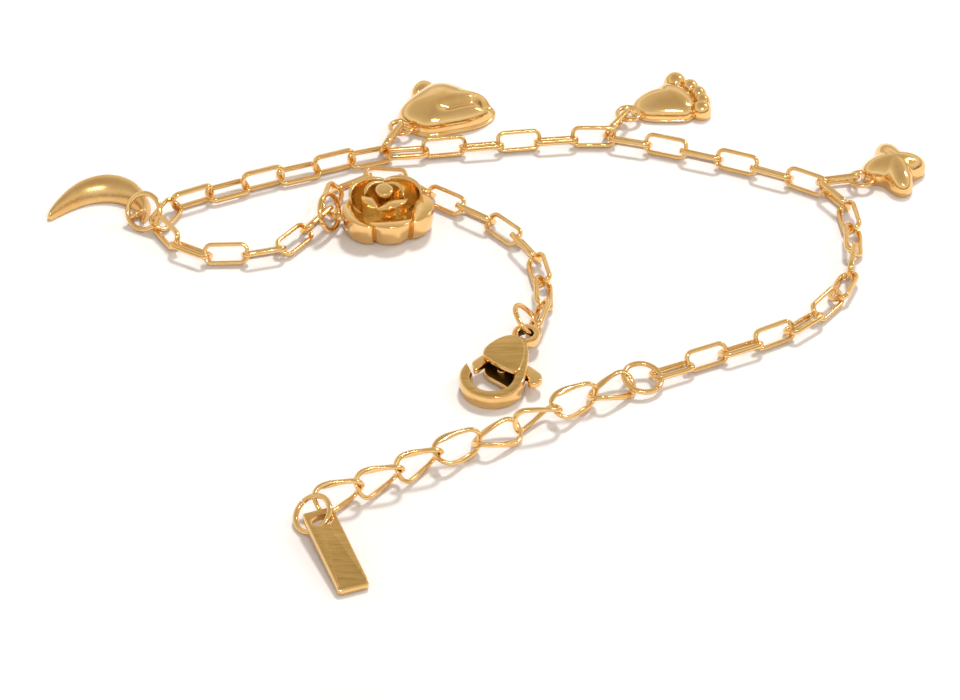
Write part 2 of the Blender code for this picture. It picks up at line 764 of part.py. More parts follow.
tag_axis = Vector((TAG_END[0] - TAG_TOP[0], TAG_END[1] - TAG_TOP[1], -TAG_LIFT)).normalized()
tag_place = frame_matrix(tag_axis, (0.0, 0.0, 1.0), (TAG_TOP[0], TAG_TOP[1], TAG_LIFT + TAG_REST))
TAG_BAR = [
    # share of the length, share of the width, share of the thickness
    (0.000, 0.80, 0.80),
    (0.015, 0.94, 1.00),
    (0.040, 1.00, 1.00),
    (0.900, 1.00, 1.00),
    (0.985, 0.97, 0.80),
    (1.000, 0.90, 0.60),
]
rings = []
for run, width, thick in TAG_BAR:
    x = TAG_LENGTH * run
    y = TAG_WIDTH / 2 * width
    z = TAG_THICK * thick
    section = ((-y, 0.0), (y, 0.0), (y, z - TAG_RIM), (y - TAG_RIM, z), (TAG_RIM - y, z),
               (-y, z - TAG_RIM))
    rings.append([Vector((x, across, level)) for across, level in section])
slot = [(TAG_HOLE_RUN + TAG_HOLE_LENGTH / 2 * math.cos(math.radians(22.5 * k)),
         TAG_HOLE_WIDTH / 2 * math.sin(math.radians(22.5 * k))) for k in range(16)]
tag = boolean(loft("bar", rings), prism("slot", slot, -TAG_THICK, 2 * TAG_THICK), "DIFFERENCE")
finish("tag", placed(tag, tag_place), POLISHED)
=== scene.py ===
"""Charm bracelet lying open on a pale surface: fine metalwork over its frame.

Lengths below are millimetres on the surface. PLACE and MM carry them into the frame.
"""
import math

import bmesh
import bpy
from mathutils import Matrix, Vector


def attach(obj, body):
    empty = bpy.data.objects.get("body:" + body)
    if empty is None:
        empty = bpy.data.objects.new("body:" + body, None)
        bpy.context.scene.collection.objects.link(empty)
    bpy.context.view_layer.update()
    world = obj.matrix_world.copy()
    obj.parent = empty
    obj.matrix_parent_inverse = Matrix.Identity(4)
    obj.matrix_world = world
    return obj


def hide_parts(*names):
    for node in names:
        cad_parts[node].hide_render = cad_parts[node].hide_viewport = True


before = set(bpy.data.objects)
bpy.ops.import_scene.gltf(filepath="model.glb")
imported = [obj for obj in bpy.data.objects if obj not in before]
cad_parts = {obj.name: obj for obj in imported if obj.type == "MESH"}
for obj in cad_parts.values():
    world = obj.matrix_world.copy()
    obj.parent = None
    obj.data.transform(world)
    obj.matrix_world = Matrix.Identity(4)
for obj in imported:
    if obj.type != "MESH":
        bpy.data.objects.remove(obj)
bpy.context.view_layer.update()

MM = 0.001
PLACE = Vector((-1.204, -4.189, 0.0))
UP = Vector((0.0, 0.0, 1.0))

# Paperclip chain and extender
LINK_WIDTH = 2.10
LINK_WIRE = 0.40
LINK_BAND = 0.54
FLAT_LINK_HEIGHT = 0.62
CURB_WIDTH = 2.80
CURB_WIRE = 0.40
CURB_BAND = 0.46
CURB_FACET = 0.24
CURB_TWIST = math.radians(42)
CURB_LIFT = 0.01
LINK_CORNER = 0.80
CURB_CORNER = 1.20
LINK_PLAY = 0.03

# Steps round a link's corner, along its side and round its wire, and how square the wire is
CORNER_STEPS = 7
SIDE_STEPS = 9
WIRE_SIDES = 12
WIRE_SQUARENESS = 2.8

# Hammered flat of a curb link: its place and reach as shares of the link, and its thinning
FACET_PLACE = 0.28
FACET_REACH = 0.36
FACET_THINNING = 0.4

# Jump rings and soldered eyelets
RING_RADIUS = 1.70
RING_WIRE = 0.50
EYELET_RADIUS = 1.08
EYELET_WIRE = 0.46
EYELET_HEIGHT = 0.80
RING_CLEARANCE = 0.20
SMALL_EYELET_RADIUS = 0.72
MOON_EYELET_WIRE = 0.44
RING_STEPS = 72
RING_SIDES = 14
RING_GAP = 0.07
# How a split ring's end tapers: degrees from the end, share of the wire
RING_ENDS = [(0.0, 0.72), (0.6, 0.90), (1.5, 1.0)]

# Each stretch of the chain: its route from the clasp on, and the roll of each link in degrees.
CHAIN = [
    ([(4.9, 2.0), (5.8, 5.4), (5.8, 8.9), (5.2, 12.3), (3.5, 15.4), (1.3, 18.0), (-1.5, 20.2),
      (-4.3, 22.1), (-6.9, 24.8), (-10.4, 25.4), (-13.6, 23.4), (-14.3, 19.9)],
     [-50, 42, -38, 50, -42, 46, -46, 44, -40, 40, -45]),
    ([(-14.3, 19.9), (-16.3, 16.8), (-18.6, 13.9), (-22.2, 13.1), (-25.6, 13.1), (-28.4, 14.9),
      (-30.2, 17.8)],
     [50, -32, 36, -52, 30, -68]),
    ([(-30.2, 17.8), (-28.7, 21.0)],
     [32]),
    ([(-28.7, 21.0), (-25.6, 22.6), (-22.3, 24.1), (-19.0, 25.5), (-15.6, 26.8), (-12.2, 28.2),
      (-8.8, 29.3)],
     [96, 8, 84, 12, 84, 16]),
    ([(-8.8, 29.3), (-5.2, 29.7), (-1.6, 30.2), (2.0, 30.7), (5.6, 31.2), (9.2, 31.6), (12.7, 31.6)],
     [-12, 70, -26, 64, -28, 66]),
    ([(12.7, 31.6), (16.2, 30.6), (19.6, 29.4), (23.0, 28.1), (26.3, 26.7), (29.6, 25.1),
      (32.4, 23.4)],
     [-33, 62, -38, 58, -34, 60]),
    ([(32.4, 23.4), (34.4, 20.4), (34.8, 16.8), (34.6, 13.4), (34.0, 10.1), (32.7, 6.9),
      (30.6, 4.1), (28.0, 1.7), (25.0, 0.0), (21.9, -1.5), (18.8, -3.0), (15.6, -4.5)],
     [-66, 40, -40, 84, 22, -50, 28, -62, 28, -58, 20]),
]

# Links that carry the fruit, foot and star: where each hangs on, where it points, its roll.
CONNECTORS = {
    "fruit": ((-9.3, 29.6, 1.08), (0.40, 0.90, 0.0), 115),
    "foot": ((12.2, 32.1, 1.08), (0.50, 0.84, 0.0), 115),
    "star": ((32.0, 24.2, 1.08), (0.97, 0.20, 0.0), -48),
}
CONNECTOR_LENGTH = 4.22

EXTENDER = [(13.35, -5.5), (9.95, -8.0), (6.6, -10.2), (3.2, -12.2), (-0.2, -14.3), (-3.7, -16.5),
            (-7.0, -18.8), (-10.4, -20.9), (-13.9, -22.9)]
CURB_ROLLS = [-4, -56, 62, -4, -50, -88, -88, -78]

# Each ring's centre, the direction its flat side faces, and where its split lies in degrees.
RINGS = [
    ("clasp_ring", (4.29, 2.18, 1.58), (0.76, 0.03, 0.65), 200),
    ("rose_ring", (-14.06, 18.20, 2.00), (0.87, -0.36, 0.33), 250),
    ("moon_ring", (-31.45, 18.70, 1.68), (-0.39, -0.68, 0.54), 300),
    ("extender_ring", (14.50, -5.20, 0.98), (0.14, -0.15, 0.98), 320),
    ("tag_ring", (-14.34, -24.15, 1.28), (-0.49, -0.33, 0.81), 120),
]


# Materials

# How fine the patterns in the gold are, as noise scales
ROUGHNESS_SCALE = 1500.0
SWELL_SCALE = 900.0
GRAIN_SCALE = 6000.0
PATCH_SCALE = 420.0
STREAK_SCALE = 4200.0


def node(tree, kind, **settings):
    made = tree.nodes.new(kind)
    for key, value in settings.items():
        setattr(made, key, value)
    return made


def noise(tree, vector, scale, detail, roughness=0.5):
    made = node(tree, "ShaderNodeTexNoise")
    made.inputs["Scale"].default_value = scale
    made.inputs["Detail"].default_value = detail
    made.inputs["Roughness"].default_value = roughness
    tree.links.new(vector, made.inputs["Vector"])
    return made.outputs["Fac"]


def ramp(tree, source, low, high):
    """The source stretched so that it runs from low to high, as numbers or colours."""
    made = node(tree, "ShaderNodeValToRGB")
    made.color_ramp.elements[0].position = 0.30
    made.color_ramp.elements[1].position = 0.70
    grey = not isinstance(low, tuple)
    made.color_ramp.elements[0].color = (low, low, low, 1.0) if grey else low
    made.color_ramp.elements[1].color = (high, high, high, 1.0) if grey else high
    tree.links.new(source, made.inputs["Fac"])
    return made.outputs["Color"]


def gold(name, deep, pale, smooth, rough, wave, grain, patch=PATCH_SCALE, stretch=(1.0, 1.0, 1.0)):
    """Gold plate: colour drifts between two golds, roughness and surface vary finely."""
    made = bpy.data.materials.new(name)
    made.use_nodes = True
    tree = made.node_tree
    shader = tree.nodes["Principled BSDF"]
    shader.inputs["Metallic"].default_value = 1.0
    place = node(tree, "ShaderNodeTexCoord").outputs["Object"]
    brushed = node(tree, "ShaderNodeMapping")
    brushed.inputs["Scale"].default_value = stretch
    tree.links.new(place, brushed.inputs["Vector"])
    tree.links.new(ramp(tree, noise(tree, brushed.outputs["Vector"], patch, 3.0), deep, pale),
                   shader.inputs["Base Color"])
    tree.links.new(ramp(tree, noise(tree, place, ROUGHNESS_SCALE, 4.0), smooth, rough),
                   shader.inputs["Roughness"])
    swell = node(tree, "ShaderNodeBump")
    swell.inputs["Strength"].default_value = 1.0
    swell.inputs["Distance"].default_value = wave * MM
    tree.links.new(noise(tree, place, SWELL_SCALE, 1.0), swell.inputs["Height"])
    fine = node(tree, "ShaderNodeBump")
    fine.inputs["Strength"].default_value = 1.0
    fine.inputs["Distance"].default_value = grain * MM
    tree.links.new(noise(tree, brushed.outputs["Vector"], GRAIN_SCALE, 3.0, 0.6), fine.inputs["Height"])
    tree.links.new(swell.outputs["Normal"], fine.inputs["Normal"])
    tree.links.new(fine.outputs["Normal"], shader.inputs["Normal"])
    return made


POLISHED = gold("polished_gold_fine", (0.84, 0.53, 0.20, 1.0), (0.93, 0.63, 0.28, 1.0),
                smooth=0.09, rough=0.17, wave=0.030, grain=0.0012)
SATIN = gold("satin_gold_fine", (0.76, 0.47, 0.17, 1.0), (0.84, 0.56, 0.24, 1.0),
             smooth=0.24, rough=0.32, wave=0.02, grain=0.003)
# Brushed gold for flat tops: the stretched streaks are real brushing, and its darker colour is painted
# shade for the dimmer reflection these tops catch.
BRUSHED_PAINTED_DARK = gold("brushed_painted_dark_gold_fine", (0.60, 0.37, 0.11, 1.0), (0.78, 0.51, 0.19, 1.0),
               smooth=0.24, rough=0.36, wave=0.01, grain=0.010, patch=STREAK_SCALE,
               stretch=(0.10, 1.0, 1.0))
# Painted light: a paler, less orange gold for the rose's inner walls and floor, offsetting the deeper
# colour that light bouncing round the hollow gives.
INSIDE_PAINTED_LIGHT = gold("inside_painted_light_gold_fine", (0.74, 0.57, 0.27, 1.0), (0.86, 0.67, 0.34, 1.0),
              smooth=0.18, rough=0.28, wave=0.02, grain=0.003)
# Painted shade: near-black gold on the clasp's hidden inner faces, standing in for the darkness of the
# slot under the hood and of the eye's bore.
PAINTED_SHADE = gold("painted_shade_gold_fine", (0.05, 0.028, 0.008, 1.0), (0.09, 0.05, 0.014, 1.0),
             smooth=0.35, rough=0.5, wave=0.02, grain=0.004)


# Shared mesh building

# Which of a piece's materials a face takes
MAIN = 0
SECOND = 1
THIRD = 2

CURVE_STEPS = 24
ROUND_STEPS = 48


class Body:
    """Vertices and faces collected in millimetres before they become one piece."""

    def __init__(self):
        self.points = []
        self.faces = []
        self.marks = []

    def add(self, points, faces, mark=MAIN, matrix=None, chosen=(), other=MAIN):
        """Faces take the mark, and those of them that are chosen take the other one."""
        first = len(self.points)
        self.points += [matrix @ p for p in points] if matrix is not None else list(points)
        self.faces += [tuple(first + i for i in face) for face in faces]
        picked = set(chosen)
        self.marks += [other if face in picked else mark for face in faces]

    def piece(self, name, materials, replaced, finish, body="bracelet", crease=50.0):
        mesh = bpy.data.meshes.new(name)
        mesh.from_pydata([(p + PLACE) * MM for p in self.points], [], self.faces)
        for material in materials:
            mesh.materials.append(material)
        mesh.polygons.foreach_set("material_index", self.marks)
        mesh.validate()
        work = bmesh.new()
        work.from_mesh(mesh)
        bmesh.ops.recalc_face_normals(work, faces=work.faces)
        work.to_mesh(mesh)
        work.free()
        mesh.shade_smooth()
        if crease < 180.0:
            mesh.set_sharp_from_angle(angle=math.radians(crease))
        made = bpy.data.objects.new(name, mesh)
        bpy.context.scene.collection.objects.link(made)
        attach(made, body)
        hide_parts(replaced)


def grid_faces(rows, columns, closed_rows=False):
    """Quads over a tube of rows, each a closed loop of columns points."""
    faces = []
    spans = rows if closed_rows else rows - 1
    for r in range(spans):
        s = (r + 1) % rows
        for c in range(columns):
            d = (c + 1) % columns
            faces.append((r * columns + c, r * columns + d, s * columns + d, s * columns + c))
    if not closed_rows:
        faces.append(tuple(reversed(range(columns))))
        faces.append(tuple((rows - 1) * columns + c for c in range(columns)))
    return faces


def frame_matrix(x_axis, z_axis, origin):
    """A placement with local X along x_axis and local Z as near z_axis as it can be."""
    x_dir = Vector(x_axis).normalized()
    z_dir = Vector(z_axis)
    z_dir = (z_dir - x_dir * z_dir.dot(x_dir)).normalized()
    y_dir = z_dir.cross(x_dir)
    made = Matrix((x_dir, y_dir, z_dir)).transposed().to_4x4()
    made.translation = Vector(origin)
    return made


def wire_section():
    """A squarish oval, one wide and one high: offsets across and up."""
    made = []
    for i in range(WIRE_SIDES):
        angle = 2 * math.pi * (i + 0.5) / WIRE_SIDES
        c, s = math.cos(angle), math.sin(angle)
        made.append((0.5 * math.copysign(abs(c) ** (2 / WIRE_SQUARENESS), c),
                     0.5 * math.copysign(abs(s) ** (2 / WIRE_SQUARENESS), s)))
    return made


def loop_path(length, width, corner):
    """A rounded rectangle along X, as points with their outward directions."""
    half_l, half_w = length / 2, width / 2
    made = []
    corners = [(1, -1, -90), (1, 1, 0), (-1, 1, 90), (-1, -1, 180)]
    for x_side, y_side, start in corners:
        centre = Vector((x_side * (half_l - corner), y_side * (half_w - corner), 0.0))
        for k in range(CORNER_STEPS + 1):
            angle = math.radians(start + 90 * k / CORNER_STEPS)
            out = Vector((math.cos(angle), math.sin(angle), 0.0))
            made.append((centre + out * corner, out))
    full = []
    for i, (point, out) in enumerate(made):
        full.append((point, out))
        if i % (CORNER_STEPS + 1) == CORNER_STEPS:
            after = made[(i + 1) % len(made)][0]
            gap = (after - point).length
            inner = SIDE_STEPS if gap > corner else 1
            for k in range(1, inner):
                full.append((point.lerp(after, k / inner), out))
    return full


def link_mesh(length, width, wire, band, corner, twist=0.0, facet=0.0):
    """A closed link of band-shaped wire along X, twisted along its length if asked.

    facet widens the wire where each long side is hammered flat.
    """
    path = loop_path(length - wire, width - wire, corner - wire / 2)
    points = []
    section = wire_section()
    for place, out in path:
        flat = 0.0
        if facet:
            middle = math.copysign(FACET_PLACE, -place.y)
            flat = math.exp(-((2 * place.x / length - middle) / FACET_REACH) ** 2)
        for across, rise in section:
            points.append(place + out * across * (wire + facet * flat)
                          + UP * rise * (band - FACET_THINNING * facet * flat))
    if twist:
        for p in points:
            turn = twist * p.x / (length / 2)
            y, z = p.y, p.z
            p.y = y * math.cos(turn) - z * math.sin(turn)
            p.z = y * math.sin(turn) + z * math.cos(turn)
    return points, grid_faces(len(path), len(section), closed_rows=True)


def curve_point(a, b, c, d, t):
    """A value between b and c on the smooth curve through all four."""
    return (2 * b + (c - a) * t + (2 * a - 5 * b + 4 * c - d) * t * t
            + (3 * b - a - 3 * c + d) * t ** 3) * 0.5


def spaced(fine, count):
    """The line through the fine points, cut into count equal steps."""
    runs = [0.0]
    for p, q in zip(fine, fine[1:]):
        runs.append(runs[-1] + (q - p).length)
    made = []
    k = 0
    for n in range(count + 1):
        want = runs[-1] * n / count
        while k < len(runs) - 2 and runs[k + 1] < want:
            k += 1
        made.append(fine[k].lerp(fine[k + 1], (want - runs[k]) / (runs[k + 1] - runs[k])))
    return made


def even_points(points, count):
    """Points along a smooth curve through the given ones, with equal steps between them."""
    fine = []
    last = len(points) - 1
    for i in range(last):
        a, b, c, d = (Vector(points[min(max(i + k, 0), last)]) for k in (-1, 0, 1, 2))
        fine += [curve_point(a, b, c, d, k / CURVE_STEPS) for k in range(CURVE_STEPS)]
    fine.append(Vector(points[-1]))
    return spaced(fine, count)


def closed_curve(points, count):
    """Evenly spaced points round a smooth closed curve through the given ones."""
    size = len(points)
    fine = []
    for i in range(size):
        a, b, c, d = (Vector(points[(i + k) % size]) for k in (-1, 0, 1, 2))
        fine += [curve_point(a, b, c, d, k / CURVE_STEPS) for k in range(CURVE_STEPS)]
    fine.append(fine[0])
    return spaced(fine, count)[:-1]


def smooth_run(values, count):
    """A value along a smooth curve through the given ones, count + 1 of them."""
    last = len(values) - 1
    made = []
    for n in range(count + 1):
        at = last * n / count
        i = min(int(at), last - 1)
        a, b, c, d = (values[min(max(i + k, 0), last)] for k in (-1, 0, 1, 2))
        made.append(curve_point(a, b, c, d, at - i))
    return made


def revolved(centre, profile):
    """Rings of points round an upright axis, one for each reach and level."""
    made = []
    for reach, level in profile:
        for k in range(ROUND_STEPS):
            turn = 2 * math.pi * k / ROUND_STEPS
            made.append(centre + Vector((reach * math.cos(turn), reach * math.sin(turn), level)))
    return made


# Chain and extender

def link_height(roll):
    """How high a link's centre line lies when it rests on the surface."""
    turn = math.radians(roll)
    rest = (LINK_WIDTH * abs(math.sin(turn)) + LINK_BAND * abs(math.cos(turn))) / 2
    return max(rest, FLAT_LINK_HEIGHT)


def link_matrix(start, end, roll, height):
    """Placement of a link between two points, turned about its length by the roll."""
    axis = Vector((end[0] - start[0], end[1] - start[1], 0.0)).normalized()
    side = UP.cross(axis)
    turn = math.radians(roll)
    normal = UP * math.cos(turn) - side * math.sin(turn)
    return frame_matrix(axis, normal, ((start[0] + end[0]) / 2, (start[1] + end[1]) / 2, height))


def connector_matrix(root, heading, roll):
    axis = Vector(heading).normalized()
    side = UP.cross(axis).normalized()
    turn = math.radians(roll)
    normal = axis.cross(side) * math.cos(turn) - side * math.sin(turn)
    return frame_matrix(axis, normal, Vector(root) + axis * (CONNECTOR_LENGTH - LINK_WIRE) / 2)


chain = Body()
for route, rolls in CHAIN:
    knots = even_points(route, len(rolls))
    for start, end, roll in zip(knots, knots[1:], rolls):
        pitch = (end - start).length
        points, faces = link_mesh(pitch + 2 * LINK_WIRE - LINK_PLAY, LINK_WIDTH, LINK_WIRE,
                                  LINK_BAND, LINK_CORNER)
        chain.add(points, faces, MAIN, link_matrix(start, end, roll, link_height(roll)))
for root, heading, roll in CONNECTORS.values():
    points, faces = link_mesh(CONNECTOR_LENGTH, LINK_WIDTH, LINK_WIRE, LINK_BAND, LINK_CORNER)
    chain.add(points, faces, MAIN, connector_matrix(root, heading, roll))
chain.piece("paperclip_links", [POLISHED], "chain", "polished_gold")

extender = Body()
knots = even_points(EXTENDER, len(CURB_ROLLS))
for start, end, roll in zip(knots, knots[1:], CURB_ROLLS):
    pitch = (end - start).length
    points, faces = link_mesh(pitch + 2 * CURB_WIRE, CURB_WIDTH, CURB_WIRE, CURB_BAND,
                              CURB_CORNER, twist=CURB_TWIST, facet=CURB_FACET)
    turned = link_matrix(start, end, roll, 0.0)
    lift = CURB_LIFT - min((turned @ p).z for p in points)
    extender.add(points, faces, MAIN, Matrix.Translation(UP * lift) @ turned)
extender.piece("curb_links", [POLISHED], "extender_chain", "polished_gold")


# Rings and eyelets

def ring_mesh(radius, wire, split):
    """A round-wire ring in the XY plane, closed or with a split at an angle in degrees."""
    if split is None:
        rows = [(360.0 * i / RING_STEPS, 1.0) for i in range(RING_STEPS)]
    else:
        half = math.degrees(RING_GAP / radius / 2)
        taper = RING_ENDS[-1][0]
        rows = [(split + half + a, s) for a, s in RING_ENDS]
        rows += [(split + half + taper + (360.0 - 2 * taper - 2 * half) * i / RING_STEPS, 1.0)
                 for i in range(1, RING_STEPS)]
        rows += [(split + 360.0 - half - a, s) for a, s in reversed(RING_ENDS)]
    points = []
    for degrees, share in rows:
        out = Vector((math.cos(math.radians(degrees)), math.sin(math.radians(degrees)), 0.0))
        for k in range(RING_SIDES):
            angle = 2 * math.pi * k / RING_SIDES
            points.append(out * (radius + wire / 2 * share * math.cos(angle))
                          + UP * (wire / 2 * share * math.sin(angle)))
    return points, grid_faces(len(rows), RING_SIDES, closed_rows=split is None)


def facing(centre, normal):
    turn = UP.rotation_difference(Vector(normal).normalized())
    return Matrix.Translation(Vector(centre)) @ turn.to_matrix().to_4x4()


def add_ring(body, centre, normal, radius, wire, split=None):
    body.add(*ring_mesh(radius, wire, split), MAIN, facing(centre, normal))


for name, centre, normal, split in RINGS:
    ring = Body()
    add_ring(ring, centre, normal, RING_RADIUS, RING_WIRE, split)
    ring.piece("fine_" + name, [POLISHED], name, "polished_gold")


def eyelet_centre(name):
    root, heading, _roll = CONNECTORS[name]
    axis = Vector(heading).normalized()
    reach = (CONNECTOR_LENGTH - LINK_WIRE + EYELET_RADIUS
             - (LINK_WIRE + EYELET_WIRE) / 2 - RING_CLEARANCE)
    centre = Vector(root) + axis * reach
    return Vector((centre.x, centre.y, EYELET_HEIGHT))


# Puffed charms

# Foot of a puffed form's wall: share of the outline and height
WALL_FOOT = [(0.965, 0.0), (0.992, 0.03), (1.0, 0.10)]
# How far up its quarter turn the top runs before it is closed flat
DOME_REACH = 0.985


def puffed(body, outline, middle, wall, rise, power=2.0, rim=0.0, inset=0.0, shape=None,
           count=120, rows=30):
    """Adds a flat-backed form: an upright wall, and a top that swells over its outline.

    The outline is in millimetres. Seen from the side the top is a superellipse of the
    given power. rim is the height of a thin flange at the base, inset how far the wall
    stands back from it as a share of the outline. shape(x, y, z) may change a height.
    """
    centre = Vector(middle)
    edge = closed_curve(outline, count)
    levels = list(WALL_FOOT)
    if rim:
        levels += [(1.0, rim - 0.08), (0.99, rim - 0.02), (1.0 - inset * 0.8, rim)]
    for r in range(rows + 1):
        turn = DOME_REACH * math.pi / 2 * r / rows
        levels.append(((1.0 - inset) * math.cos(turn) ** (2 / power),
                       wall + rise * math.sin(turn) ** (2 / power)))
    points = []
    for scale, level in levels:
        for p in edge:
            q = centre + (p - centre) * scale
            height = shape(q.x, q.y, level) if shape is not None and level >= wall else level
            points.append(Vector((q.x, q.y, height)))
    body.add(points, grid_faces(len(levels), count))


def shares(outline, middle, wide, deep):
    return [(middle[0] + x * wide, middle[1] + y * deep) for x, y in outline]


# How far past its ends a groove runs and over how much of it the depth fades, as shares
CREASE_REACH = 1.15
CREASE_FADE = 0.5


def crease_line(start, end, depth, width):
    """A groove between two points, deepest in its middle, fading to both ends."""
    a, b = Vector(start), Vector(end)
    run = b - a

    def cut(x, y):
        t = (Vector((x, y)) - a).dot(run) / run.length_squared
        near = a + run * min(max(t, 0.0), 1.0)
        gap = (Vector((x, y)) - near).length
        fade = max(0.0, min(1.0, (CREASE_REACH - abs(2 * t - 1.0)) / CREASE_FADE))
        return depth * fade * math.exp(-(gap / width) ** 2)

    return cut


# Fruit with a leaf

FRUIT_OUTLINE = [(-7.7, 34.4), (-6.7, 33.5), (-5.4, 32.9), (-4.2, 32.9), (-2.9, 33.3), (-1.0, 33.9),
                 (0.3, 34.6), (1.2, 35.6), (1.5, 36.8), (0.8, 37.9), (-0.5, 38.6), (-1.9, 39.5),
                 (-3.4, 40.2), (-5.0, 39.9), (-6.4, 38.4), (-7.5, 36.8), (-8.0, 35.5)]
FRUIT_MIDDLE = (-3.7, 36.4)
FRUIT_LEAF = [(-4.9, 41.4), (-5.8, 41.5), (-6.5, 40.6), (-6.5, 39.4), (-5.2, 39.6), (-4.6, 40.6)]
FRUIT_LEAF_MIDDLE = (-5.6, 40.4)
FRUIT_LOWEST = 0.5
fruit_fold = crease_line((-3.9, 34.7), (1.4, 37.0), depth=0.55, width=0.55)
fruit_mouth = crease_line((-0.4, 36.2), (3.6, 37.4), depth=0.95, width=0.70)


def fruit_shape(x, y, z):
    """The fold that runs across the front half and opens at the right end."""
    return max(FRUIT_LOWEST, z - fruit_fold(x, y) - fruit_mouth(x, y))


fruit = Body()
puffed(fruit, FRUIT_OUTLINE, FRUIT_MIDDLE, wall=0.62, rise=2.05, power=2.25, rim=0.34,
       inset=0.035, shape=fruit_shape, count=160, rows=44)
puffed(fruit, FRUIT_LEAF, FRUIT_LEAF_MIDDLE, wall=0.45, rise=0.7, count=48, rows=10)
add_ring(fruit, eyelet_centre("fruit"), UP, EYELET_RADIUS, EYELET_WIRE)
fruit.piece("fine_fruit", [POLISHED], "fruit_charm", "polished_gold", crease=180.0)


# Foot

FOOT_LENGTH = 6.65
FOOT_WIDTH = 5.35
FOOT_MIDDLE = (4.05, 2.15)
SOLE_OUTLINE = [(-0.50, -0.33), (-0.33, -0.46), (-0.03, -0.49), (0.26, -0.46), (0.40, -0.26),
                (0.40, 0.02), (0.30, 0.30), (0.12, 0.49), (-0.07, 0.51), (-0.23, 0.30),
                (-0.43, 0.15), (-0.56, -0.10)]
# Toes: place as shares of the foot's size, radius and height in millimetres.
TOES = [(0.10, 0.585, 1.12, 1.85), (0.315, 0.42, 0.90, 1.68), (0.425, 0.215, 0.86, 1.62),
        (0.475, 0.00, 0.84, 1.55), (0.455, -0.245, 0.98, 1.62)]
TOE_WALL = 0.55
ROUND_OUTLINE = [(math.cos(math.radians(45 * k)), math.sin(math.radians(45 * k)))
                 for k in range(8)]

foot = Body()
eyelet = eyelet_centre("foot")
foot_middle = (eyelet.x + FOOT_MIDDLE[0], eyelet.y + FOOT_MIDDLE[1])
puffed(foot, shares(SOLE_OUTLINE, foot_middle, FOOT_LENGTH, FOOT_WIDTH), foot_middle,
       wall=0.40, rise=1.65, rim=0.30, inset=0.03)
for across, along, radius, height in TOES:
    middle = (foot_middle[0] + across * FOOT_LENGTH, foot_middle[1] + along * FOOT_WIDTH)
    puffed(foot, shares(ROUND_OUTLINE, middle, radius, radius), middle,
           wall=TOE_WALL, rise=height - TOE_WALL, count=40, rows=14)
add_ring(foot, eyelet, UP, EYELET_RADIUS, EYELET_WIRE)
foot.piece("fine_foot", [POLISHED], "foot_charm", "polished_gold", crease=180.0)


# Star with four plump arms

STAR_MIDDLE = (39.35, 26.7)
STAR_TURN = math.radians(13)
STAR_ARMS = 3.40
STAR_ARMS_DIFFER = 0.28
STAR_VALLEY = 2.20
STAR_POINTEDNESS = 1.1

star_outline = []
for k in range(72):
    turn = math.radians(5 * k)
    tip = STAR_ARMS - STAR_ARMS_DIFFER * math.cos(2 * (turn - STAR_TURN))
    share = (0.5 + 0.5 * math.cos(4 * (turn - STAR_TURN))) ** STAR_POINTEDNESS
    reach = STAR_VALLEY + (tip - STAR_VALLEY) * share
    star_outline.append((STAR_MIDDLE[0] + reach * math.cos(turn),
                         STAR_MIDDLE[1] + reach * math.sin(turn)))
star = Body()
puffed(star, star_outline, STAR_MIDDLE, wall=0.75, rise=1.75, power=1.9, count=180, rows=40)
add_ring(star, eyelet_centre("star"), UP, EYELET_RADIUS, EYELET_WIRE)
star.piece("fine_star", [POLISHED], "star_charm", "polished_gold", crease=180.0)


# Moon

# From the left tip to the right one: inner edge, outer edge, height.
MOON_STATIONS = [
    ((-40.46, 19.52), (-40.52, 19.56), 0.22),
    ((-40.28, 19.50), (-40.66, 19.80), 0.62),
    ((-39.90, 19.80), (-40.52, 20.55), 0.95),
    ((-39.20, 20.45), (-39.95, 21.85), 1.28),
    ((-38.20, 21.25), (-39.00, 23.40), 1.60),
    ((-37.00, 21.95), (-37.70, 24.75), 1.82),
    ((-35.60, 22.30), (-35.75, 25.60), 1.92),
    ((-34.40, 22.20), (-33.90, 25.40), 1.90),
    ((-33.30, 21.70), (-32.40, 24.35), 1.78),
    ((-32.50, 20.95), (-31.50, 23.00), 1.55),
    ((-32.05, 20.20), (-31.05, 21.60), 1.30),
    ((-31.90, 19.55), (-31.05, 20.30), 1.05),
    ((-31.75, 19.20), (-31.25, 19.50), 0.70),
    ((-31.60, 19.08), (-31.48, 19.14), 0.25),
]
MOON_EYELET = (-32.18, 19.35, 0.82)
MOON_EYELET_FACE = (0.50, -0.62, -0.61)
MOON_CREST = 1.12
MOON_SWELL = 1.35
MOON_STEPS = 90
MOON_SIDES = 34

moon = Body()
inner_edge = smooth_run([Vector(inner) for inner, _outer, _height in MOON_STATIONS], MOON_STEPS)
outer_edge = smooth_run([Vector(outer) for _inner, outer, _height in MOON_STATIONS], MOON_STEPS)
moon_heights = smooth_run([height for _inner, _outer, height in MOON_STATIONS], MOON_STEPS)
points = []
for inner, outer, height in zip(inner_edge, outer_edge, moon_heights):
    for k in range(MOON_SIDES):
        turn = math.pi * k / (MOON_SIDES - 1)
        place = inner.lerp(outer, (0.5 - 0.5 * math.cos(turn)) ** MOON_CREST)
        points.append(Vector((place.x, place.y, height * math.sin(turn) ** MOON_SWELL)))
moon.add(points, grid_faces(MOON_STEPS + 1, MOON_SIDES))
add_ring(moon, MOON_EYELET, MOON_EYELET_FACE, SMALL_EYELET_RADIUS, MOON_EYELET_WIRE)
moon.piece("fine_moon", [SATIN], "moon_charm", "satin_gold", crease=180.0)


# Rose: five thick outer petals, four inner ones and a domed bud

ROSE_MIDDLE = Vector((-8.6, 18.8, 0.0))
BUD_MIDDLE = Vector((-8.95, 20.0, 0.0))
BUD_RADIUS = 0.86
ROSE_FLOOR = 1.25
BUD_TOP = 3.40
BUD_SLANT = 0.10
BUD_SLANT_ACROSS = 0.4
BUD_SLANT_FROM = 2.5
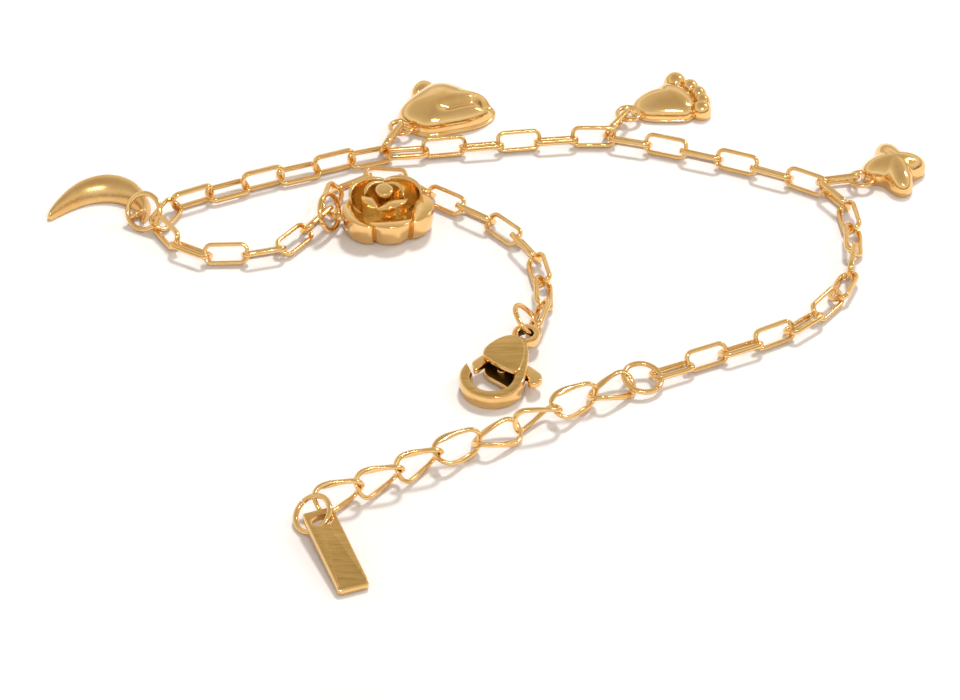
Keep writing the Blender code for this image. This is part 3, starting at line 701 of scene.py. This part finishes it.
# Bud and floor, from the bottom up: reach and height
BUD_PROFILE = [(BUD_RADIUS * share, level) for share, level in (
    (1.0, 0.9), (1.02, 2.2), (1.0, BUD_TOP - 0.22), (0.96, BUD_TOP - 0.08), (0.86, BUD_TOP),
    (0.60, BUD_TOP + 0.05), (0.25, BUD_TOP + 0.06))]
FLOOR_PROFILE = [(2.60, 0.0), (3.00, 0.10), (3.1, 0.6), (2.9, ROSE_FLOOR), (0.3, ROSE_FLOOR)]
ROSE_EYELET = (-13.10, 18.61, 1.07)
ROSE_EYELET_FACE = (0.12, 0.50, 0.86)

# Outer petals: middle angle, half width in degrees, radius, height, lip width, slope of the lip.
OUTER_PETALS = [
    (-82, 42, 3.62, 2.42, 1.50, 0.12),
    (-8, 39, 4.30, 2.60, 1.95, 0.40),
    (60, 40, 3.90, 3.25, 0.42, 0.02),
    (135, 40, 4.18, 3.15, 0.42, 0.02),
    (207, 40, 4.42, 2.60, 0.98, 0.18),
]
# Inner petals round the bud, described the same way.
INNER_PETALS = [
    (-60, 46, 2.45, 2.95, 1.20, 0.04),
    (38, 50, 1.92, 3.08, 0.40, 0.00),
    (137, 46, 2.00, 3.12, 0.42, 0.00),
    (219, 36, 2.35, 3.00, 0.98, 0.04),
]


PETAL_STEPS = 44
# Towards a petal's two ends: how much it sinks, and how much of its lip it loses
PETAL_SINK = 0.10
LIP_LOSS = 0.72
LIP_EDGE = 0.13
# Foot of a petal's outer wall: share of its base that it stands in, and height
PETAL_FOOT = [(1.0, 0.03), (0.60, 0.16), (0.30, 0.50), (0.10, 1.05)]
INNER_WALL_DRAW = 0.35
INNER_WALL_STEPS = 7


def petal(body, centre, shape, base, draw_in):
    """A thick curved petal: outer wall, lens-shaped lip and inner wall down to the floor.

    base is how far the wall's foot stands in from its rim. draw_in is how much closer
    the petal's two ends lie.
    """
    angle, half, radius, height, lip, slope = shape
    points = []
    for n in range(PETAL_STEPS + 1):
        across = 2.0 * n / PETAL_STEPS - 1.0
        end = abs(across)
        turn = math.radians(angle + half * across)
        out = Vector((math.cos(turn), math.sin(turn), 0.0))
        rim = radius * (1.0 - draw_in * end ** 2.2)
        top = height * (1.0 - PETAL_SINK * end ** 2)
        wide = lip * (1.0 - LIP_LOSS * end ** 2.4)
        edge = min(LIP_EDGE, wide * 0.35)
        profile = [(rim - base * share, level) for share, level in PETAL_FOOT]
        profile += [(rim, top - 0.55), (rim + 0.02, top - 0.30), (rim, top - edge)]
        for degrees in (30, 60, 90):
            t = math.radians(degrees)
            profile.append((rim - edge * (1 - math.cos(t)), top - edge * (1 - math.sin(t))))
        outside = len(profile)
        inner = rim - wide
        inner_top = top - slope - edge * 0.6
        profile += [(rim - wide * 0.5, top - slope * 0.35), (inner + edge * 0.6, top - slope * 0.9),
                    (inner, inner_top)]
        for k in range(1, INNER_WALL_STEPS + 1):
            t = k / INNER_WALL_STEPS
            profile.append((inner - (inner - base) * INNER_WALL_DRAW * t ** 2.0,
                            inner_top * (1 - t) + ROSE_FLOOR * t))
        profile.append((inner - (inner - base) * 0.38, 0.03))
        points += [centre + out * reach + UP * level for reach, level in profile]
    columns = len(profile)
    faces = grid_faces(PETAL_STEPS + 1, columns)
    # The inner wall takes the second material; for the rose that is the paler gold painted as light in
    # the hollow.
    painted_light_walls = [f for f in faces if len(f) == 4 and min(i % columns for i in f) > outside]
    body.add(points, faces, MAIN, chosen=painted_light_walls, other=SECOND)


rose = Body()
for shape in OUTER_PETALS:
    petal(rose, ROSE_MIDDLE, shape, base=0.55, draw_in=0.16)
for shape in INNER_PETALS:
    petal(rose, BUD_MIDDLE, shape, base=0.18, draw_in=0.06)
bud = revolved(BUD_MIDDLE, BUD_PROFILE)
for p in bud:
    if p.z > BUD_SLANT_FROM:
        p.z += BUD_SLANT * (p.y - BUD_MIDDLE.y - BUD_SLANT_ACROSS * (p.x - BUD_MIDDLE.x))
rose.add(bud, grid_faces(len(BUD_PROFILE), ROUND_STEPS))
# The floor takes the paler painted-light gold too.
rose.add(revolved(ROSE_MIDDLE, FLOOR_PROFILE), grid_faces(len(FLOOR_PROFILE), ROUND_STEPS), SECOND)
add_ring(rose, ROSE_EYELET, ROSE_EYELET_FACE, SMALL_EYELET_RADIUS, EYELET_WIRE)
rose.piece("fine_rose", [POLISHED, INSIDE_PAINTED_LIGHT], "rose_charm", "polished_gold")


# Clasp, drawn flat with its hook ring round the origin and its eye along +X

CLASP_PLACE = (Matrix.Translation(Vector((1.15, -5.55, 0.18)))
               @ Matrix.Rotation(math.radians(64), 4, "Z")
               @ Matrix.Rotation(-math.radians(4), 4, "Y"))
HOOK_OUTER = 2.95
HOOK_INNER = 1.85
HOOK_HEIGHT = 1.45
HOOD_TOP = 1.80
PLATE = 0.48
LEVER_BOTTOM = 0.58
LEVER_TOP = 1.24
PIVOT = Vector((3.6, 0.5))
EYE_CENTRE = Vector((6.7, -0.1))
LOWER_OUTLINE = [(2.60, 1.98), (1.90, 1.80), (0.80, 1.12), (0.46, 0.20), (0.20, -0.80), (-0.05, -1.75),
                 (0.30, -2.40), (0.95, -2.72), (1.42, -2.56), (1.95, -2.28), (3.30, -1.85),
                 (4.95, -0.86), (5.50, -0.10), (5.34, 0.76), (4.62, 1.42), (3.65, 1.88)]
HOOD_OUTLINE = [(1.86, 1.82), (1.52, 1.10), (1.20, 0.20), (1.00, -0.80), (0.94, -1.70), (1.30, -2.02),
                (2.10, -1.92), (3.10, -1.68), (4.10, -1.28), (4.90, -0.72), (5.34, -0.05),
                (5.22, 0.70), (4.60, 1.36), (3.65, 1.84), (2.70, 2.04)]
BLOCK_OUTLINE = [(4.50, 1.30), (4.50, -0.95), (5.00, -0.60), (5.22, -0.05), (5.12, 0.66)]
NECK_OUTLINE = [(4.80, 0.80), (4.80, -0.70), (5.75, -0.62), (5.75, 0.50)]
LEVER_OUTLINE = [(1.12, 2.56), (0.62, 2.28), (0.28, 2.02), (0.32, 1.78), (0.62, 1.62), (1.40, 1.42),
                 (2.35, 1.05), (2.42, 0.60), (2.35, 0.10), (2.10, -0.80), (1.75, -1.60),
                 (1.45, -2.30), (1.20, -2.90), (0.82, -3.08), (0.62, -3.42), (0.88, -3.90),
                 (1.55, -4.12), (2.15, -3.80), (2.50, -3.10), (2.80, -2.20), (3.00, -1.20),
                 (3.70, -0.60), (4.30, 0.05), (4.38, 0.80), (3.90, 1.28), (2.95, 1.75),
                 (2.10, 2.25)]
HOOK_START = 77
HOOK_STOP = 284
HOOK_SLANT = 24
HOOK_RISE = 235
HOOK_JOIN = 1.64
KNUCKLE = (1.62, -0.12)
KNUCKLE_RADIUS = 0.42
PIN_RADIUS = 0.32
HOOK_STEPS = 100
RAIL_STEPS = 30
EYE_STEPS = 64
PLATE_POINTS = 110
LEVER_POINTS = 130
# Columns of the hook's section between which its flat top lies
FLAT_TOP = {4, 5}
EYE_SECTION = [(0.68, 0.28), (0.68, 0.97), (0.74, 1.06), (0.84, 1.10), (1.12, 1.10), (1.22, 1.06),
               (1.28, 0.95), (1.28, 0.30), (1.22, 0.19), (1.12, 0.15), (0.84, 0.15), (0.74, 0.19)]

# Side rail from the hook's end to the eye: middle of the rail, half its width, its top.
RAIL = [((1.26, -2.20), 0.50, 1.68), ((2.15, -2.02), 0.38, 1.72), ((3.10, -1.72), 0.34, 1.72),
        ((4.05, -1.28), 0.32, 1.70), ((4.85, -0.72), 0.30, 1.68), ((5.38, -0.10), 0.28, 1.62)]
RAIL_BOTTOM = 1.32


def plate(body, outline, low, high, bevel, side=MAIN, top=MAIN, steps=3):
    """A plate between two heights, its upper and lower edges rounded off."""
    size = len(outline)
    area = sum(outline[i][0] * outline[(i + 1) % size][1] - outline[(i + 1) % size][0] * outline[i][1]
               for i in range(size))
    sign = math.copysign(1.0, area)
    outward = []
    for i in range(size):
        a, b, c = (Vector(outline[(i + k) % size]) for k in (-1, 0, 1))
        before = Vector(((b - a).y, -(b - a).x)).normalized()
        after = Vector(((c - b).y, -(c - b).x)).normalized()
        mean = before + after
        outward.append(mean * sign / max(0.35, mean.length_squared / 2))
    levels = []
    for k in range(steps + 1):
        turn = math.pi / 2 * k / steps
        levels.append((bevel / 2 * (1 - math.sin(turn)), low + bevel / 2 * (1 - math.cos(turn))))
    for k in range(steps + 1):
        turn = math.pi / 2 * k / steps
        levels.append((bevel * (1 - math.cos(turn)), high - bevel * (1 - math.sin(turn))))
    points = []
    for inset, level in levels:
        for p, out in zip(outline, outward):
            q = Vector(p) - out * inset
            points.append(Vector((q.x, q.y, level)))
    faces = grid_faces(len(levels), size)
    body.add(points, faces, side, CLASP_PLACE, faces[-1:], top)


def arc(centre, radius, start, stop, count):
    return [(centre[0] + radius * math.cos(math.radians(start + (stop - start) * k / count)),
             centre[1] + radius * math.sin(math.radians(start + (stop - start) * k / count)))
            for k in range(count + 1)]


def through(points, count):
    """A closed outline through the points, rounded by a smooth curve."""
    return [(p.x, p.y) for p in closed_curve(points, count)]


def smooth_step(value):
    value = min(max(value, 0.0), 1.0)
    return value * value * (3 - 2 * value)


def hook_section(low, high):
    """Across and up: chamfered on the inside, rounded at the outer edge, flat on top."""
    tall = high - low
    return [(-1.0, low + 0.08), (-1.0, low + 0.60 * tall), (-0.92, low + 0.80 * tall),
            (-0.62, high - 0.03), (-0.54, high), (0.70, high), (0.84, high - 0.03),
            (0.94, high - 0.10), (1.0, high - 0.24), (1.0, low + 0.14), (0.93, low + 0.03),
            (0.82, low), (-0.88, low)]


def sweep(body, stations, side, top):
    """A bar through stations of hook sections, its flat top with a mark of its own."""
    columns = len(stations[0])
    faces = grid_faces(len(stations), columns)
    flat = [f for f in faces if len(f) == 4 and {i % columns for i in f} == FLAT_TOP]
    body.add([p for station in stations for p in station], faces, side, CLASP_PLACE, flat, top)


clasp = Body()
half = (HOOK_OUTER - HOOK_INNER) / 2
middle = (HOOK_OUTER + HOOK_INNER) / 2
stations = []
for i in range(HOOK_STEPS + 1):
    ring = []
    plain = HOOK_START + (HOOK_STOP - HOOK_START) * i / HOOK_STEPS
    lift = smooth_step((plain - HOOK_RISE) / (HOOK_STOP - HOOK_RISE))
    high = HOOK_HEIGHT + (HOOK_JOIN - HOOK_HEIGHT) * lift
    for part, level in hook_section(0.0, high):
        start = HOOK_START + HOOK_SLANT * (1 - part) / 2
        turn = math.radians(start + (HOOK_STOP - start) * i / HOOK_STEPS)
        reach = middle + half * part
        ring.append(Vector((reach * math.cos(turn), reach * math.sin(turn), level)))
    stations.append(ring)

rail_line = smooth_run([Vector(place) for place, _half, _top in RAIL], RAIL_STEPS)
rail_half = smooth_run([wide for _place, wide, _top in RAIL], RAIL_STEPS)
rail_top = smooth_run([top for _place, _half, top in RAIL], RAIL_STEPS)
for k in range(RAIL_STEPS + 1):
    run = (rail_line[min(k + 1, RAIL_STEPS)] - rail_line[max(k - 1, 0)]).normalized()
    out = Vector((run.y, -run.x))
    stations.append([Vector((*(rail_line[k] + out * rail_half[k] * part), level))
                     for part, level in hook_section(RAIL_BOTTOM, rail_top[k])])
# The hook's flat top takes the brushed gold, whose darker colour is painted shade.
sweep(clasp, stations, MAIN, SECOND)

# The lower plate's top takes the third material, near-black painted shade for the slot under the hood.
plate(clasp, through(LOWER_OUTLINE, PLATE_POINTS), 0.0, PLATE, bevel=0.08, top=THIRD)
# The hood's top takes the brushed gold, darkened as painted shade.
plate(clasp, through(HOOD_OUTLINE, PLATE_POINTS), HOOD_TOP - PLATE, HOOD_TOP, bevel=0.12, top=SECOND)
# The spring block's sides take the near-black painted shade as well.
plate(clasp, BLOCK_OUTLINE, 0.1, HOOD_TOP - 0.15, bevel=0.05, side=THIRD)
plate(clasp, NECK_OUTLINE, 0.15, 1.08, bevel=0.12)
plate(clasp, arc(PIVOT, PIN_RADIUS, 0, 345, 23), PLATE / 2, HOOD_TOP - PLATE / 2, bevel=0.02)
plate(clasp, arc(KNUCKLE, KNUCKLE_RADIUS, 0, 350, 35), PLATE / 2, PLATE + 0.40, bevel=0.12)
points = []
for i in range(EYE_STEPS):
    angle = 2 * math.pi * i / EYE_STEPS
    for reach, level in EYE_SECTION:
        points.append(Vector((EYE_CENTRE.x + reach * math.cos(angle),
                              EYE_CENTRE.y + reach * math.sin(angle), level)))
columns = len(EYE_SECTION)
eye_faces = grid_faces(EYE_STEPS, columns, closed_rows=True)
# The eye's bore takes the near-black painted shade.
painted_shade_bore = [f for f in eye_faces if {i % columns for i in f} <= {0, 1, columns - 1}]
clasp.add(points, eye_faces, MAIN, CLASP_PLACE, painted_shade_bore, THIRD)
clasp.piece("fine_clasp", [POLISHED, BRUSHED_PAINTED_DARK, PAINTED_SHADE], "clasp_body", "polished_gold", crease=35.0)

lever = Body()
plate(lever, through(LEVER_OUTLINE, LEVER_POINTS), LEVER_BOTTOM, LEVER_TOP, bevel=0.20, steps=4)
lever.piece("fine_lever", [POLISHED], "clasp_lever", "polished_gold", "lever", crease=40.0)


# Tag, a plain bar with a slot near the end that hangs on its ring

TAG_LENGTH = 9.4
TAG_WIDTH = 2.75
TAG_THICK = 0.85
TAG_LIFT = 0.90
TAG_CORNER = 0.22
TAG_BEVEL = 0.11
TAG_REST = 0.04
# The slot: its middle along the bar, and its half sizes along and across
SLOT_MIDDLE = 1.25
SLOT_ALONG = 0.65
SLOT_ACROSS = 0.975
# The far end slopes down from this share of the length, by this share of the height
TAG_SLOPE_FROM = 0.93
TAG_SLOPE = 0.30
TAG_POINTS = 96
# Extra points close to each corner, as turns from it seen from the slot
CORNER_TURNS = (-0.05, -0.02, 0.0, 0.02, 0.05)
FAR_CORNER_SHARE = 0.4
TAG_TOP = (-13.95, -24.1)
TAG_END = (-10.7, -32.6)
tag_axis = Vector((TAG_END[0] - TAG_TOP[0], TAG_END[1] - TAG_TOP[1], -TAG_LIFT)).normalized()
TAG_PLACE = frame_matrix(tag_axis, (0.0, 0.0, 1.0), (TAG_TOP[0], TAG_TOP[1], TAG_LIFT + TAG_REST))


def rectangle_point(angle, low_x, high_x, half_y, corner, centre_x):
    """Where a ray from the slot's middle meets the bar's rounded outline."""
    direction = Vector((math.cos(angle), math.sin(angle)))
    low, high = 0.0, 20.0
    for _step in range(40):
        mid = (low + high) / 2
        p = Vector((centre_x, 0.0)) + direction * mid
        cx = min(max(p.x, low_x + corner), high_x - corner)
        cy = min(max(p.y, -half_y + corner), half_y - corner)
        inside = (p - Vector((cx, cy))).length <= corner + 1e-9
        low, high = (mid, high) if inside else (low, mid)
    return Vector((centre_x, 0.0)) + direction * low


tag = Body()
angles = [2 * math.pi * k / TAG_POINTS for k in range(TAG_POINTS)]
for x, y in ((0.0, 1.0), (TAG_LENGTH, 1.0), (TAG_LENGTH, -1.0), (0.0, -1.0)):
    to_corner = math.atan2(y * TAG_WIDTH / 2, x - SLOT_MIDDLE)
    share = FAR_CORNER_SHARE if abs(math.cos(to_corner)) > 0.9 else 1.0
    angles += [(to_corner + turn * share) % (2 * math.pi) for turn in CORNER_TURNS]
angles = sorted(set(round(a, 4) for a in angles))
# Round the outside and then down the slot: inset and height
TAG_OUTSIDE = [(TAG_BEVEL, 0.0), (0.0, TAG_BEVEL), (0.0, TAG_THICK - TAG_BEVEL),
               (TAG_BEVEL * 0.35, TAG_THICK - TAG_BEVEL * 0.3), (TAG_BEVEL, TAG_THICK)]
TAG_SLOT = [(-0.10, TAG_THICK), (-0.03, TAG_THICK - 0.03), (0.0, TAG_THICK - 0.10), (0.0, 0.08),
            (-0.08, 0.0)]
points = []
for inset, level in TAG_OUTSIDE:
    for a in angles:
        p = rectangle_point(a, inset, TAG_LENGTH - inset * 1.6, TAG_WIDTH / 2 - inset,
                            TAG_CORNER, SLOT_MIDDLE)
        along = (p.x / TAG_LENGTH - TAG_SLOPE_FROM) / (1.0 - TAG_SLOPE_FROM)
        points.append(Vector((p.x, p.y, level * (1.0 - TAG_SLOPE * max(0.0, along)))))
for inset, level in TAG_SLOT:
    for a in angles:
        points.append(Vector((SLOT_MIDDLE + (SLOT_ALONG - inset) * math.cos(a),
                              (SLOT_ACROSS - inset) * math.sin(a), level)))
size = len(angles)
tag_faces = grid_faces(len(TAG_OUTSIDE) + len(TAG_SLOT), size, closed_rows=True)
first_top = (len(TAG_OUTSIDE) - 1) * size
# The bar's top takes the brushed gold, darkened as painted shade.
tag.add(points, tag_faces, MAIN, TAG_PLACE, tag_faces[first_top:first_top + size], SECOND)
tag.piece("fine_tag", [POLISHED, BRUSHED_PAINTED_DARK], "tag", "polished_gold", crease=40.0)


# Surface, light and camera

def surface_material():
    made = bpy.data.materials.new("pale_surface")
    made.use_nodes = True
    tree = made.node_tree
    shader = tree.nodes["Principled BSDF"]
    shader.inputs["Roughness"].default_value = 0.75
    shader.inputs["Specular IOR Level"].default_value = 0.2
    place = node(tree, "ShaderNodeTexCoord").outputs["Object"]
    tree.links.new(ramp(tree, noise(tree, place, 30.0, 2.0), (0.755, 0.725, 0.725, 1.0),
                        (0.775, 0.745, 0.745, 1.0)), shader.inputs["Base Color"])
    return made


bpy.ops.mesh.primitive_plane_add(size=3.0, location=(0.0, 0.0, -0.00002))
floor = bpy.context.object
floor.name = "floor"
floor.data.materials.append(surface_material())


# How far each light stands from the bracelet, in metres
LIGHT_DISTANCE = 0.9


def softbox(name, azimuth, elevation, wide, tall, power):
    """A rectangular light aimed at the bracelet, its azimuth counted from the viewer's side."""
    a, e = math.radians(azimuth), math.radians(elevation)
    place = LIGHT_DISTANCE * Vector((math.sin(a) * math.cos(e), -math.cos(a) * math.cos(e),
                                     math.sin(e)))
    light = bpy.data.lights.new(name, "AREA")
    light.shape = "RECTANGLE"
    light.size = wide
    light.size_y = tall
    light.energy = power
    made = bpy.data.objects.new(name, light)
    made.location = place
    made.rotation_euler = (-place).to_track_quat("-Z", "Y").to_euler()
    bpy.context.scene.collection.objects.link(made)
    return made


window = softbox("window", azimuth=168, elevation=56, wide=0.14, tall=0.14, power=6.2)
window.visible_glossy = False
softbox("flash", azimuth=10, elevation=46, wide=0.07, tall=0.07, power=0.9)
softbox("flash_beside", azimuth=22, elevation=42, wide=0.05, tall=0.05, power=0.45)
softbox("panel_right", azimuth=115, elevation=40, wide=0.10, tall=0.22, power=1.2)

world = bpy.data.worlds.new("studio")
world.use_nodes = True
bpy.context.scene.world = world
tree = world.node_tree
background = tree.nodes["Background"]
direction = node(tree, "ShaderNodeTexCoord").outputs["Generated"]
split = node(tree, "ShaderNodeSeparateXYZ")
tree.links.new(direction, split.inputs["Vector"])


def sky(stops):
    """Colours by height above the horizon."""
    made = node(tree, "ShaderNodeValToRGB")
    first, last = made.color_ramp.elements
    first.position, first.color = stops[0]
    last.position, last.color = stops[-1]
    for position, colour in stops[1:-1]:
        made.color_ramp.elements.new(position).color = colour
    tree.links.new(split.outputs["Z"], made.inputs["Fac"])
    return made.outputs["Color"]


UPPER = [(0.20, (0.70, 0.66, 0.60, 1.0)), (0.40, (1.0, 0.97, 0.93, 1.0)),
         (0.60, (0.72, 0.68, 0.59, 1.0)), (1.0, (0.54, 0.49, 0.42, 1.0))]
viewer_side = sky([(0.0, (0.22, 0.17, 0.11, 1.0)), (0.08, (0.13, 0.09, 0.05, 1.0))] + UPPER)
far_side = sky([(0.0, (0.85, 0.80, 0.74, 1.0)), (0.10, (0.62, 0.57, 0.50, 1.0))] + UPPER)
facing_far = node(tree, "ShaderNodeMapRange")
facing_far.inputs["From Min"].default_value = -0.15
facing_far.inputs["From Max"].default_value = 0.35
tree.links.new(split.outputs["Y"], facing_far.inputs["Value"])
blend = node(tree, "ShaderNodeMix", data_type="RGBA")
# The colour mix's sockets by number: 0 is the factor, 6 and 7 the colours, 2 the result
tree.links.new(facing_far.outputs["Result"], blend.inputs[0])
tree.links.new(viewer_side, blend.inputs[6])
tree.links.new(far_side, blend.inputs[7])
tree.links.new(blend.outputs[2], background.inputs["Color"])
background.inputs["Strength"].default_value = 1.0

bpy.context.scene.view_settings.view_transform = "Standard"
bpy.context.scene.view_settings.look = "None"

# Where the camera stands and looks, in metres of the frame
CAMERA_PLACE = Vector((-0.001204, -0.300989, 0.236100))
CAMERA_AIM = Vector((-0.001204, -0.004189, 0.0))

camera_data = bpy.data.cameras.new("camera")
camera_data.lens = 157.5
camera_data.sensor_width = 36.0
camera_data.clip_start = 0.01
camera = bpy.data.objects.new("camera", camera_data)
camera.location = CAMERA_PLACE
camera.rotation_euler = (CAMERA_AIM - CAMERA_PLACE).to_track_quat("-Z", "Y").to_euler()
bpy.context.scene.collection.objects.link(camera)
bpy.context.scene.camera = camera
